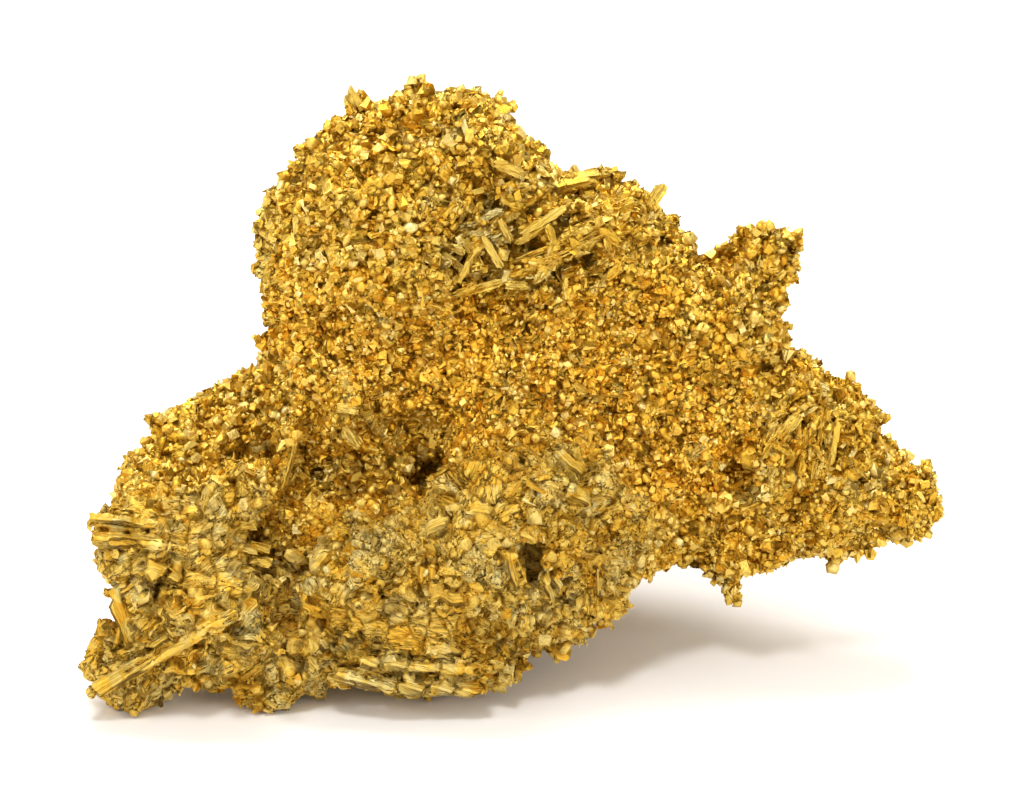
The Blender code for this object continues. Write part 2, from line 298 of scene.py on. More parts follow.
def put_in_order(mesh):
    """Numbers a grid's points and faces by their places, so that every run draws alike for them."""
    points = mesh_points(mesh)[0]
    order = np.lexsort(points.T)
    rank = np.empty(len(order), int)
    rank[order] = np.arange(len(order))
    corners = np.empty(len(mesh.loops), int)
    mesh.loops.foreach_get("vertex_index", corners)
    faces = rank[corners].reshape(-1, 4)
    turn = (faces.argmin(axis=1)[:, None] + np.arange(4)) % 4
    faces = np.take_along_axis(faces, turn, axis=1)
    faces = faces[np.lexsort(faces.T[::-1])]
    mesh.clear_geometry()
    fill_mesh(mesh, points[order], faces, np.arange(len(faces)) * 4)


def fill_mesh(mesh, points, corners, starts):
    mesh.vertices.add(points.size // 3)
    mesh.vertices.foreach_set("co", points.ravel())
    mesh.loops.add(corners.size)
    mesh.loops.foreach_set("vertex_index", corners.ravel())
    mesh.polygons.add(starts.size)
    mesh.polygons.foreach_set("loop_start", starts.ravel())
    mesh.update(calc_edges=True)


def make_skin(obj, voxel, smoothing, depth):
    """Runs the facets together and sinks the surface, so that what grows on it reaches the solid."""
    fuse = obj.modifiers.new("fuse", "REMESH")
    fuse.mode = "VOXEL"
    fuse.voxel_size = voxel
    apply_all(obj)
    put_in_order(obj.data)
    settle = obj.modifiers.new("settle", "SMOOTH")
    settle.factor = 0.5
    settle.iterations = smoothing
    sink = obj.modifiers.new("sink", "DISPLACE")
    sink.strength = -depth
    sink.mid_level = 0.0
    apply_all(obj)


def close_cut(obj, place, direction, depth, pushed):
    """Runs the small faces of a cut together, as none of them shows, and pushes them on."""
    place, direction = Vector(place), Vector(direction)

    def work():
        pick(obj, lambda co: (co - place).dot(direction) > -CUT_TOLERANCE)
        bpy.ops.mesh.dissolve_limited(angle_limit=CUT_FLATNESS)
        bpy.ops.mesh.quads_convert_to_tris(quad_method="BEAUTY", ngon_method="BEAUTY")
        move(obj, lambda co: (co - place).dot(direction) > -depth - CUT_RIM, direction * pushed)

    edit_mesh(obj, work)


def mesh_points(mesh):
    points = np.empty(len(mesh.vertices) * 3)
    mesh.vertices.foreach_get("co", points)
    normals = np.empty(len(mesh.vertices) * 3)
    mesh.vertices.foreach_get("normal", normals)
    return points.reshape(-1, 3), normals.reshape(-1, 3)


def spaced(places, radii, closeness, order):
    """The places, taken in that order, that keep clear of those already taken."""
    tree = KDTree(len(places))
    for number, place in enumerate(places):
        tree.insert(place, number)
    tree.balance()
    reach = radii.max()
    taken = np.zeros(len(places), bool)
    for number in order:
        near = tree.find_range(places[number], (radii[number] + reach) * closeness)
        mine = radii[number]
        if all(not taken[i] or apart > (mine + radii[i]) * closeness for _, i, apart in near):
            taken[number] = True
    return np.nonzero(taken)[0]


def break_up(points, normals, rng, spacing, crack, depth, lift, tilt):
    """Breaks the surface up: the height that it adds, and how far inside its piece each point is.

    Each piece of the surface is tilted and lifted by its own amount, and cracks part the pieces.
    """
    order = rng.permutation(len(points))
    cells = np.floor(points[order] / spacing).astype(int)
    middles = points[order[np.unique(cells, axis=0, return_index=True)[1]]]
    tree = KDTree(len(middles))
    for number, middle in enumerate(middles):
        tree.insert(middle, number)
    tree.balance()
    own = np.empty(len(points), int)
    edge = np.empty(len(points))
    for number, point in enumerate(points):
        spot = Vector(point)
        warped = spot + noise.noise_vector(spot / WARP_SIZE) * WARP_REACH
        (_, own[number], near), (_, _, far) = tree.find_n(warped, 2)
        edge[number] = far - near
    away = points - middles[own]
    slopes = rng.normal(0, 0.58, (len(middles), 3))[own] * tilt
    slopes -= normals * np.einsum("ij,ij->i", slopes, normals)[:, None]
    inside = ramp(edge, 0, crack)
    height = rng.uniform(-1, 1, len(middles))[own] * lift + np.einsum("ij,ij->i", away, slopes)
    return height - depth * (1 - inside) ** 2, inside, own, middles


def plate_places(points, normals, own, middles, rng):
    """Each point's place in its plate: along the plate's growth, across it and up."""
    up = np.zeros_like(middles)
    np.add.at(up, own, normals)
    frames = frames_of(unit(up), grain_of(middles, rng), 0.0, rng)
    places = np.einsum("ni,nij->nj", points - middles[own], frames[own])
    places[:, 0] *= (1 + SHORTENED * (1 - layered_share(middles)))[own]
    return places + rng.uniform(-50 * MM, 50 * MM, (len(middles), 3))[own]


def drawn_out(points, size, stretch, seed):
    """Noise drawn out along the growth, 0 where the growth has no way, and how much way it has."""
    total = np.zeros(len(points))
    weight = np.zeros(len(points))
    for middle, radius, direction in GROWTH_WAYS:
        share = patch_share(points, ((middle, radius),))
        turn = Vector(direction).to_track_quat("X", "Z").to_matrix()
        inside = np.nonzero(share > 0)[0]
        local = points[inside] @ np.array(turn) / size * (stretch, 1, 1) + seed
        total[inside] += share[inside] * [noise.noise(Vector(spot)) for spot in local]
        weight[inside] += share[inside]
    return total / np.maximum(weight, 1.0) * np.minimum(weight, 1.0) ** 0.5, weight


def bed_laths(points, normals, height, tints, growth):
    """Lets the laths that lie in the skin rise out of it, grooved along, with a crack around each."""
    for number, (start, end, width) in enumerate(BEDDED.values()):
        start, end = np.array(start) * MM, np.array(end) * MM
        length = np.linalg.norm(end - start)
        along = (end - start) / length
        from_middle = np.linalg.norm(points - (start + end) / 2, axis=1)
        near = np.nonzero(from_middle < length / 2 + width * MM)[0]
        away = points[near] - start
        along_at = away @ along
        sideways = unit(np.cross(normals[near], along))
        across = np.einsum("ij,ij->i", away, sideways)
        deep = np.abs(np.einsum("ij,ij->i", away, np.cross(along, sideways)))
        ragged = np.array([noise.noise(Vector(spot) / WARP_SIZE) for spot in points[near]])
        rim = width * MM / 2 + ragged * 0.22 * MM - np.abs(across)
        rim = np.minimum(rim, np.minimum(along_at, length - along_at) + ragged * 0.8 * MM)
        rim = np.where(deep < 3 * MM, rim, -1.0)
        laid = near[(rim > 0) & (deep < 3 * MM)]
        growth[laid] = np.stack([along_at * 0.3, across, 0 * across], 1)[(rim > 0) & (deep < 3 * MM)]
        grooves = np.array([
            noise.noise(Vector((x * 0.12, y, number * MM)) / BED_GROOVE_SIZE)
            for x, y in zip(along_at, across)
        ])
        inside = ramp(rim, -0.1 * MM, 0.25 * MM)
        crack = np.exp(-(((rim + BED_EDGE) / (0.22 * MM)) ** 2))
        height[near] *= 1 - 0.85 * inside
        height[near] += inside * (BED_LIFT + BED_GROOVE * grooves) - BED_EDGE_DEPTH * crack
        # Painted shade: each lath is painted darker in the low parts of its grooves and along the
        # crack around it; its face is a little lighter, its own tone.
        tints[near, 0] += 0.04 * inside + 0.25 * inside * np.minimum(grooves, 0) - 0.3 * crack


def crumple_skin(obj, seed, breaks, loose):
    """Gives a skin its plates, facets and crumples, and each of its pieces a tint."""
    rng = np.random.default_rng(seed)
    mesh = obj.data
    points, normals = mesh_points(mesh)
    layered = layered_share(points)
    height = np.array([noise.noise(Vector(point) / CRUMPLE_SIZE) for point in points])
    height *= CRUMPLE_HEIGHT * (1 - 0.8 * layered)
    tints = np.full((len(points), 3), 0.5)
    for number, level in enumerate(breaks):
        added, inside, own, middles = break_up(points, normals, rng, **level)
        if number == 0:
            growth = plate_places(points, normals, own, middles, rng)
        height += added * (1 - (1 - CALM[number]) * layered)
        tints += (rng.normal(0, 1, (own.max() + 1, 3)) * PLATE_TINTS)[own]
        # Painted shade: each plate is painted darker and more orange towards its cracks, the shade
        # that falls there, partly the brown they hold; the gold is duller there too.
        tints[:, 0] -= 0.20 * (1 - inside)
        tints[:, 1] += 0.12 * (1 - inside)
        tints[:, 2] += 0.12 * (1 - inside)
    height += LINE_HEIGHT * drawn_out(points, LINE_SIZE, LINE_STRETCH, seed)[0]
    split, way = drawn_out(points, SPLIT_SIZE, SPLIT_STRETCH, seed + 0.5)
    open_crack = np.exp(-((split / 0.05) ** 2)) * ramp(way, 0.1, 0.5)
    height -= SPLIT_DEPTH * open_crack
    # Painted shade: the gold is painted darker along the open splits.
    tints[:, 0] -= 0.35 * open_crack
    bed_laths(points, normals, height, tints, growth)
    for middle, radius, filled in FILLED:
        height += patch_share(points, ((middle, radius),)) * filled * MM
    height[in_hollows(points)] -= HOLLOW_DEPTH
    moved = points + normals * height[:, None] + rng.normal(0, loose, points.shape)
    moved[:, 2] = np.maximum(moved[:, 2], 0)
    mesh.vertices.foreach_set("co", moved.ravel())
    mesh.update()
    front = shelf_share(points)
    # Painted shade: the skin off the shelf, which shows between the crystals, is painted warmer, the
    # orange of the shade there; the shelf is paler and the warm patches warmer, their own colour.
    tints[:, 1] += 0.06 - 0.16 * front + 0.05 * patch_share(points, WARM_PATCHES)
    tints[:, 0] += 0.10 * patch_share(points, WARM_PATCHES)
    tints[:, 1] -= 0.30 * patch_share(points, SILVERY_PATCHES)
    tints[:, 2] += 0.15 * front
    give_attributes(mesh, tints, growth)


def give_attributes(mesh, tints, growth):
    """Per point: its tint, and its place in its own crystal or plate."""
    colours = np.ones((len(tints), 4))
    colours[:, :3] = np.clip(tints, 0, 1)
    mesh.attributes.new(TINT, "FLOAT_COLOR", "POINT").data.foreach_set("color", colours.ravel())
    mesh.attributes.new(GROWTH, "FLOAT_VECTOR", "POINT").data.foreach_set("vector", growth.ravel())


def cell_map(mesh):
    """Gives each four-sided face its own cell of the map."""
    across = math.ceil(math.sqrt(len(mesh.polygons)))
    starts = np.empty(len(mesh.polygons), int)
    mesh.polygons.foreach_get("loop_start", starts)
    faces = np.searchsorted(starts, np.arange(len(mesh.loops)), side="right") - 1
    turn = (np.arange(len(mesh.loops)) - starts[faces]) % 4
    corners = np.array([(0.15, 0.15), (0.85, 0.15), (0.85, 0.85), (0.15, 0.85)])[turn]
    cells = np.stack([faces % across, faces // across], axis=1)
    layer = mesh.uv_layers.new(name=BAKE_MAP)
    layer.uv.foreach_set("vector", ((corners + cells) / across).ravel())


def cut_off(obj, place, direction):
    """Takes away what lies beyond the place in that direction, and closes the cut."""

    def work():
        bpy.ops.mesh.bisect(plane_co=place, plane_no=direction, use_fill=True, clear_outer=True)

    edit_mesh(obj, work)


def carve_shelf(obj):
    """Takes the shelf's place out of the front, but for what lies under the shelf's rim."""
    bpy.ops.mesh.primitive_cube_add(size=1)
    cutter = bpy.context.object
    cutter.scale = (1, 0.2, 0.2)
    cutter.location = (0, SHELF_CUT_Y - SKIN_OVERLAP - 0.1, SHELF_CUT_Z - SKIN_OVERLAP - 0.1)
    carve = obj.modifiers.new("carve", "BOOLEAN")
    carve.object = cutter
    apply_all(obj)
    bpy.data.objects.remove(cutter)


def gold_skin(name, cuts, voxel, depth, pushed, seed, breaks, loose):
    """A skin over the part of the solid that its cuts leave."""
    skin = solid_copy(name)
    for cut in cuts:
        cut_off(skin, *cut)
    if name == "gold_front":
        carve_shelf(skin)
    make_skin(skin, voxel, SKIN_SMOOTHING, depth)
    for cut in cuts:
        close_cut(skin, *cut, depth, pushed)
    crumple_skin(skin, seed, breaks, loose)
    cell_map(skin.data)
    return skin


SHELF_CUTS = (((0, SHELF_CUT_Y, 0), (0, 1, 0)), ((0, 0, SHELF_CUT_Z), (0, 0, 1)))
FRONT_CUTS = (((0, BACK_CUT_Y + SEAM, 0), (0, 1, 0)),)
BACK_CUTS = (((0, BACK_CUT_Y, 0), (0, -1, 0)),)
# The front shelf, finely crackled; the front of the crown, body and arm, without the shelf; and the
# back, on a coarser grid. Each: its cuts, grid, depth, how far its cuts are pushed on, and breaks.
SKINS = {
    "gold_shelf": (SHELF_CUTS, SHELF_VOXEL, SHELF_DEPTH, CUT_PUSHED, SEED, SHELF_BREAKS, SHELF_LOOSE),
    "gold_front": (FRONT_CUTS, FRONT_VOXEL, MASS_DEPTH, 0.0, SEED + 1, MASS_BREAKS, MASS_LOOSE),
    "gold_back": (BACK_CUTS, BACK_VOXEL, MASS_DEPTH, CUT_PUSHED, SEED + 2, MASS_BREAKS, MASS_LOOSE),
}


# ------------ crystals, each modelled once


def octahedron():
    """An eight-sided crystal with its upper tip cut off a little."""
    bpy.ops.mesh.primitive_uv_sphere_add(segments=4, ring_count=2, radius=0.6)

    def work(obj):
        bpy.ops.mesh.bisect(plane_co=(0, 0, 0.40), plane_no=(0.12, 0.07, 1), use_fill=True,
                            clear_outer=True)

    return shaped(work)


def block():
    """A cubic crystal, two of its upper corners cut to octahedral faces."""
    bpy.ops.mesh.primitive_cube_add(size=0.84)

    def work(obj):
        for way in ((1, 1, 1), (-1, 0.9, 1.1)):
            bpy.ops.mesh.select_all(action="SELECT")
            direction = Vector(way).normalized()
            bpy.ops.mesh.bisect(plane_co=direction * 0.56, plane_no=direction, use_fill=True,
                                clear_outer=True)

    return shaped(work)


def tablet():
    """A five-sided tablet, as crystals grow that are flattened on their twin plane."""
    bpy.ops.mesh.primitive_cylinder_add(vertices=5, radius=0.56, depth=0.36)

    def work(obj):
        resize(obj, lambda co: co.z > 0, (0.8, 0.86, 1.0))
        bpy.ops.transform.translate(value=(0.05, -0.04, 0.0))

    return shaped(work)


def stepped():
    """A block that grew in steps: a smaller terrace stands off-centre on a larger one."""
    bpy.ops.mesh.primitive_cube_add(size=1)

    def work(obj):
        bpy.ops.transform.resize(value=(0.95, 0.8, 0.5))
        pick(obj, lambda co: co.z > 0)
        bpy.ops.mesh.inset(thickness=0.14)
        bpy.ops.mesh.extrude_region_move(TRANSFORM_OT_translate={"value": (0.08, -0.03, 0.2)})
        bpy.ops.transform.resize(value=(0.86, 0.9, 1.0))

    return shaped(work)


def nugget():
    """A grain whose faces have run together."""
    bpy.ops.mesh.primitive_ico_sphere_add(subdivisions=1, radius=0.52)

    def work(obj):
        bpy.ops.transform.vertex_random(offset=0.20, seed=SEED)

    return shaped(work)


def blade():
    """A long crystal, wedge shaped, with a slanted end."""
    bpy.ops.mesh.primitive_cube_add(size=1)

    def work(obj):
        bpy.ops.transform.resize(value=(1.7, 0.46, 0.36))
        resize(obj, lambda co: co.x > 0, (1.0, 0.55, 0.6))
        move(obj, lambda co: co.x > 0 and co.z > 0, (-0.22, 0.03, 0.02))
        move(obj, lambda co: co.x < 0 and co.z > 0, (0.16, 0.0, 0.06))

    return shaped(work)


def leaf(sides, seed):
    """A torn leaf of gold with an uneven outline, folded across its middle."""
    bpy.ops.mesh.primitive_circle_add(vertices=sides, radius=0.56, fill_type="NGON")

    def work(obj):
        bpy.ops.transform.vertex_random(offset=0.2, seed=seed)
        bpy.ops.transform.resize(value=(1, 1, 0))
        bpy.ops.mesh.extrude_region_move(TRANSFORM_OT_translate={"value": (0, 0, 0.15)})
        bpy.ops.mesh.poke(offset=0.05)
        move(obj, lambda co: co.x > 0.12, (0, 0, 0.12))
        move(obj, lambda co: co.y > 0.2, (0, 0, -0.09))

    return shaped(work)


def broad_leaf():
    return leaf(8, SEED)


def narrow_leaf():
    obj = leaf(7, SEED + 3)
    edit_mesh(obj, lambda: bpy.ops.transform.resize(value=(1.35, 0.62, 1.1)))
    return obj


def crumple():
    """A leaf crumpled into sharp folds."""
    bpy.ops.mesh.primitive_grid_add(x_subdivisions=3, y_subdivisions=3, size=0.95)

    def work(obj):
        bpy.ops.mesh.extrude_region_move(TRANSFORM_OT_translate={"value": (0, 0, 0.16)})
        bpy.ops.transform.vertex_random(offset=0.23, seed=SEED + 4)
        move(obj, lambda co: abs(co.x) < 0.3 and abs(co.y) < 0.3, (0, 0, 0.13))

    return shaped(work)


# ------------ laths and slabs


def ridged(rings, rows, seed, stretch, relief, end):
    """A blade one unit each way, its upper side ridged along X; end is how narrow its ends are."""
    bpy.ops.mesh.primitive_grid_add(x_subdivisions=rings, y_subdivisions=rows, size=1)
    obj = bpy.context.object
    offset = Vector((seed * 3.7, seed * 1.9, 0))

    def work():
        bpy.ops.mesh.extrude_region_move(TRANSFORM_OT_translate={"value": (0, 0, 1)})
        bpy.ops.transform.translate(value=(0, 0, -0.5))
        bpy.ops.mesh.select_all(action="SELECT")
        bpy.ops.transform.vertex_random(offset=0.012, seed=seed)
        resize(obj, lambda co: abs(co.x) > 0.47, (1, end, end))
        resize(obj, lambda co: abs(co.x) > 0.38, (1, (1 + end) / 2, (1 + end) / 2))
        bpy.ops.mesh.select_all(action="SELECT")
        bpy.ops.transform.resize(value=(1 / stretch, 1, 1))
        bpy.ops.transform.translate(value=offset)

    edit_mesh(obj, work)
    for number, (size, height) in enumerate(((0.30, relief), (0.12, relief * 0.7))):
        tex = bpy.data.textures.new(f"ridges_{number}", "CLOUDS")
        tex.noise_scale = size
        step = obj.modifiers.new(tex.name, "DISPLACE")
        step.texture = tex
        step.texture_coords = "LOCAL"
        step.direction = "Z"
        step.strength = height
        step.mid_level = 0.5
    apply_all(obj)

    def back():
        bpy.ops.transform.translate(value=-offset)
        bpy.ops.transform.resize(value=(stretch, 1, 1))

    edit_mesh(obj, back)
    return obj


def long_lath():
    return ridged(18, 7, 1, 7.0, 0.55, 0.55)


def short_lath():
    return ridged(10, 6, 2, 4.0, 0.6, 0.7)


def thick_slab():
    return ridged(8, 7, 3, 2.2, 0.4, 0.8)


def smooth_slab():
    return ridged(7, 6, 4, 1.2, 0.22, 0.85)


# Laths that lie in the skin. Each: its two ends and its width, in millimetres.
BEDDED = {
    "long_lath": ((-54.3, -27.2, 4.8), (-35.4, -28.0, 17.4), 3.1),
    "long_lath_upper": ((-50.4, -27.4, 9.0), (-38.6, -27.8, 17.4), 1.1),
    "log_top": ((-55.6, -18.8, 26.1), (-45.4, -22.9, 26.9), 2.4),
    "log_low": ((-54.6, -20.3, 23.8), (-44.9, -23.9, 24.5), 2.4),
    "log_end": ((-44.6, -23.0, 27.4), (-38.0, -24.0, 27.0), 2.4),
    "slab_a": ((-24.4, -24.9, 7.2), (-15.2, -27.3, 5.2), 1.9),
    "slab_b": ((-15.1, -26.6, 6.2), (-11.6, -27.0, 5.2), 2.3),
    "slab_c": ((-11.3, -26.6, 6.0), (-7.7, -26.8, 4.9), 2.1),
    "slab_d": ((-7.5, -26.6, 5.0), (-4.4, -26.3, 4.0), 1.9),
    "slab_e": ((-17.2, -26.3, 9.2), (-13.6, -26.9, 8.4), 1.7),
    "slab_f": ((-13.4, -26.9, 8.6), (-9.8, -26.6, 7.6), 1.9),
    "slab_g": ((-9.4, -26.9, 8.0), (-6.8, -26.4, 6.8), 2.2),
    "slab_h": ((-6.6, -26.4, 7.4), (-4.2, -25.6, 5.8), 2.0),
    "slab_i": ((-22.4, -25.4, 9.4), (-17.6, -26.6, 8.6), 1.6),
    "seam_lath": ((-38.8, -28.2, 13.8), (-30.4, -26.6, 11.9), 1.2),
    "seam_lath_low": ((-37.0, -28.0, 12.0), (-30.8, -26.6, 9.6), 1.5),
    "bright_lath": ((-38.9, -28.2, 12.6), (-40.3, -26.6, 8.8), 1.1),
    "toe_lath": ((-50.5, -27.0, 3.4), (-44.5, -27.4, 5.0), 1.5),
    "low_lath": ((-46.0, -27.4, 7.0), (-38.0, -27.6, 8.2), 1.4),
    "pale_slab": ((-52.4, -22.0, 17.4), (-50.4, -23.6, 10.4), 3.6),
    "face_slab": ((-45.6, -25.4, 17.6), (-42.6, -26.4, 13.4), 3.0),
    "face_slab_top": ((-47.6, -24.4, 21.4), (-43.4, -25.4, 20.2), 2.4),
    "fan_root": ((-35.2, -25.2, 13.6), (-32.4, -23.2, 18.4), 2.4),
    "crack_leaf_top": ((-28.2, -22.6, 16.4), (-25.6, -23.4, 13.2), 2.4),
    "crack_leaf_low": ((-27.4, -23.6, 12.6), (-24.4, -24.6, 10.2), 2.4),
    "slot_leaf": ((3.4, -22.6, 20.6), (5.4, -21.2, 13.0), 1.5),
    "slot_leaf_outer": ((5.0, -21.8, 19.8), (7.0, -20.0, 14.4), 1.1),
    "slot_lip": ((-1.0, -24.5, 23.6), (0.2, -24.5, 18.4), 1.9),
    "peak_slab": ((-1.2, -15.6, 33.8), (0.1, -16.6, 31.8), 1.5),
    "shelf_slab_a": ((-15.8, -24.6, 18.2), (-12.5, -24.8, 16.2), 2.6),
    "shelf_slab_b": ((-11.2, -25.6, 17.2), (-6.7, -26.2, 17.6), 2.0),
    "shelf_slab_c": ((5.4, -17.2, 34.4), (9.0, -16.8, 31.2), 2.2),
    "shelf_slab_d": ((6.8, -19.2, 30.0), (10.2, -17.6, 27.4), 2.4),
    "shelf_slab_e": ((-11.8, -22.6, 26.0), (-9.0, -22.4, 27.0), 2.3),
    "shelf_slab_f": ((-6.1, -21.6, 28.8), (-3.3, -21.6, 28.4), 2.2),
}
# Laths and slabs that lie on the skin, by how they are made; each has a thickness too.
LAID = {
    crumple: {
        "lump_a": ((-36.6, -16.8, 23.6), (-33.8, -16.2, 23.8), 1.5, 1.5),
        "lump_b": ((-34.4, -17.0, 22.6), (-31.8, -17.2, 21.8), 1.5, 1.5),
        "lump_c": ((-36.4, -17.8, 21.8), (-33.6, -17.4, 21.2), 1.5, 1.5),
        "lump_d": ((-34.6, -18.0, 20.4), (-31.8, -18.4, 20.0), 1.5, 1.5),
        "lump_e": ((-36.0, -18.8, 19.6), (-33.4, -18.6, 18.8), 1.5, 1.5),
        "lump_f": ((-33.8, -19.2, 18.2), (-31.4, -19.4, 17.6), 1.5, 1.5),
    },
    long_lath: {
        "upright": ((-28.3, -8.0, 38.6), (-31.0, -12.4, 27.8), 1.3, 1.5),
        "rib_upper_edge": ((0.0, -8.2, 60.0), (3.9, -7.0, 61.9), 0.6, 1.1),
        "rib_middle": ((3.4, -7.0, 57.9), (10.6, -8.9, 62.0), 0.6, 1.4),
        "rib_low": ((0.0, -8.9, 55.8), (10.9, -9.5, 61.0), 0.8, 1.6),
        "rib_lower": ((-0.4, -8.0, 57.2), (6.2, -9.4, 60.2), 0.7, 1.3),
        "rib_bright": ((7.6, -9.0, 59.8), (10.6, -9.0, 61.6), 0.45, 1.2),
        "rib_block": ((5.3, -7.6, 60.4), (9.6, -8.6, 62.4), 1.2, 1.3),
        "rib_crest": ((5.4, -1.6, 65.0), (10.2, -0.8, 65.6), 1.2, 1.2),
        "arm_left": ((32.6, -10.4, 31.4), (37.2, -8.8, 36.4), 1.6, 1.5),
        "arm_right": ((39.0, -10.8, 28.2), (40.5, -8.4, 36.4), 0.7, 1.3),
        "arm_middle": ((37.4, -10.6, 28.8), (38.4, -8.9, 34.4), 0.8, 1.2),
        "back_rib": ((-14.0, 26.0, 46.0), (-4.0, 28.0, 50.0), 1.8, 1.6),
        "back_rib_low": ((-20.0, 27.0, 36.0), (-11.0, 29.0, 39.0), 1.6, 1.5),
        "back_lath": ((6.0, 26.0, 30.0), (14.0, 24.0, 40.0), 1.9, 1.6),
        "back_arm_lath": ((36.0, 12.0, 28.0), (46.0, 9.0, 24.0), 1.7, 1.5),
        "back_crown_lath": ((-24.0, 16.0, 64.0), (-18.0, 18.0, 56.0), 1.7, 1.4),
    },
    short_lath: {
        "rib_upper": ((0.6, -7.3, 61.0), (6.0, -5.7, 64.2), 0.8, 1.5),
        "rib_top_plate": ((6.0, 0.6, 65.5), (12.2, 1.6, 66.2), 1.4, 1.2),
        "ridge_lath": ((10.6, -3.0, 63.0), (14.8, -1.4, 64.4), 1.1, 1.2),
        "ridge_blade": ((17.6, -1.0, 62.4), (19.6, 0.6, 65.0), 1.6, 0.8),
        "bright_slab": ((-8.0, -9.0, 53.0), (-1.8, -8.6, 54.6), 1.2, 1.3),
        "arm_outer": ((41.2, -10.4, 30.2), (42.0, -8.6, 35.4), 0.6, 1.1),
    },
    smooth_slab: {
        "plate_left": ((-6.9, -8.5, 60.8), (-4.6, -8.0, 56.5), 1.1, 1.2),
        "plate_right": ((-4.3, -7.8, 60.4), (-1.9, -7.6, 56.2), 1.0, 1.2),
        "plate_upper": ((-2.1, -7.2, 62.6), (-0.6, -7.0, 59.6), 0.9, 1.0),
        "plate_far": ((-9.4, -9.8, 58.8), (-6.4, -8.6, 55.8), 1.0, 1.2),
        "block_right": ((11.4, -8.8, 61.8), (13.4, -8.2, 59.6), 1.3, 1.3),
        "crown_plate_low": ((-1.7, -7.9, 65.9), (0.9, -6.9, 64.4), 1.6, 1.2),
        "crown_plate_top": ((-2.7, -7.6, 70.6), (0.5, -6.2, 68.6), 1.4, 1.2),
        "warm_slab_a": ((-23.2, -11.8, 38.6), (-20.8, -11.6, 38.2), 1.3, 1.3),
        "warm_slab_b": ((-22.8, -13.2, 35.8), (-20.7, -12.6, 33.4), 1.6, 1.4),
        "warm_slab_c": ((7.2, -11.2, 40.6), (8.8, -10.8, 39.0), 1.0, 1.2),
    },
    thick_slab: {
        "bright_slab_end": ((-1.4, -8.6, 54.2), (1.6, -8.2, 54.0), 1.1, 1.3),
        "block_left": ((3.8, -7.6, 61.8), (4.9, -9.3, 59.4), 0.9, 1.2),
        "crown_plate": ((1.9, -3.6, 67.4), (5.3, -2.4, 66.2), 1.1, 1.2),
        "arm_left_step": ((34.0, -10.6, 33.4), (36.2, -10.6, 32.2), 1.5, 1.3),
        "back_slab": ((18.0, 22.0, 34.0), (22.0, 21.0, 37.0), 2.8, 1.6),
    },
}
# How far the corners of each crystal and of each lath wander, against its size.
UNEVEN, LATH_UNEVEN = 0.09, 0.04
LATH_RAISED = -0.05  # how far a lath's face stands out past the line between its ends, in mm


class Growth:
    """The arrays of a crystal that is modelled once, for copying."""

    def __init__(self, obj):
        def work():
            bpy.ops.mesh.normals_make_consistent(inside=False)
            bpy.ops.uv.smart_project(angle_limit=1.0, island_margin=0.03)

        if not obj.data.uv_layers:
            obj.data.uv_layers.new(name=BAKE_MAP)
        edit_mesh(obj, work)
        mesh = obj.data
        self.points = np.array([v.co for v in mesh.vertices])
        self.corners = np.array([loop.vertex_index for loop in mesh.loops])
        self.starts = np.array([face.loop_start for face in mesh.polygons])
        self.map = np.array([spot.vector for spot in mesh.uv_layers.active.uv])
        bpy.data.objects.remove(obj)


def copies(name, growth, places, frames, sizes, tints, rng, uneven=0.0, rounded=False):
    """One mesh with a copy of the crystal at every place."""
    count = len(places)
    uneven = rng.normal(0, uneven, (count, *growth.points.shape))
    local = (growth.points + uneven) * sizes[:, None, :]
    points = np.einsum("nij,nvj->nvi", frames, local) + places[:, None, :]
    points[:, :, 2] = np.maximum(points[:, :, 2], 0.0)
    per, loops = len(growth.points), len(growth.corners)
    number = np.arange(count)[:, None]
    mesh = bpy.data.meshes.new(name)
    fill_mesh(mesh, points, growth.corners + number * per, growth.starts + number * loops)
    if not rounded:
        mesh.shade_flat()
    across = math.ceil(math.sqrt(count))
    cells = np.stack([np.arange(count) % across, np.arange(count) // across], axis=1)
    layer = mesh.uv_layers.new(name=BAKE_MAP)
    layer.uv.foreach_set(
        "vector", ((growth.map[None] * 0.9 + 0.05 + cells[:, None]) / across).ravel()
    )
    apart = rng.uniform(-0.05, 0.05, (count, 1, 3))
    give_attributes(mesh, np.repeat(tints, per, axis=0), (local + apart).reshape(-1, 3))
    obj = bpy.data.objects.new(name, mesh)
    bpy.context.scene.collection.objects.link(obj)
    return obj


def grain_of(places, rng):
    """The way that long crystals lie: at random, but along the growth in the patches that have it."""
    ways = unit(rng.normal(0, 1, (len(places), 3)))
    for middle, radius, direction in GROWTH_WAYS:
        share = patch_share(places, ((middle, radius),))[:, None]
        ways = unit(ways * (1.15 - share) + 1.6 * share * np.array(direction))
    return ways


def frames_of(normals, ways, lean, rng):
    """A frame for each crystal: its first axis along its way, its third the surface's, leaned."""
    up = unit(normals + lean * rng.normal(0, 0.55, (len(normals), 3)))
    side = unit(ways - up * np.einsum("ij,ij->i", ways, up)[:, None])
    return np.stack([side, np.cross(up, side), up], axis=2)


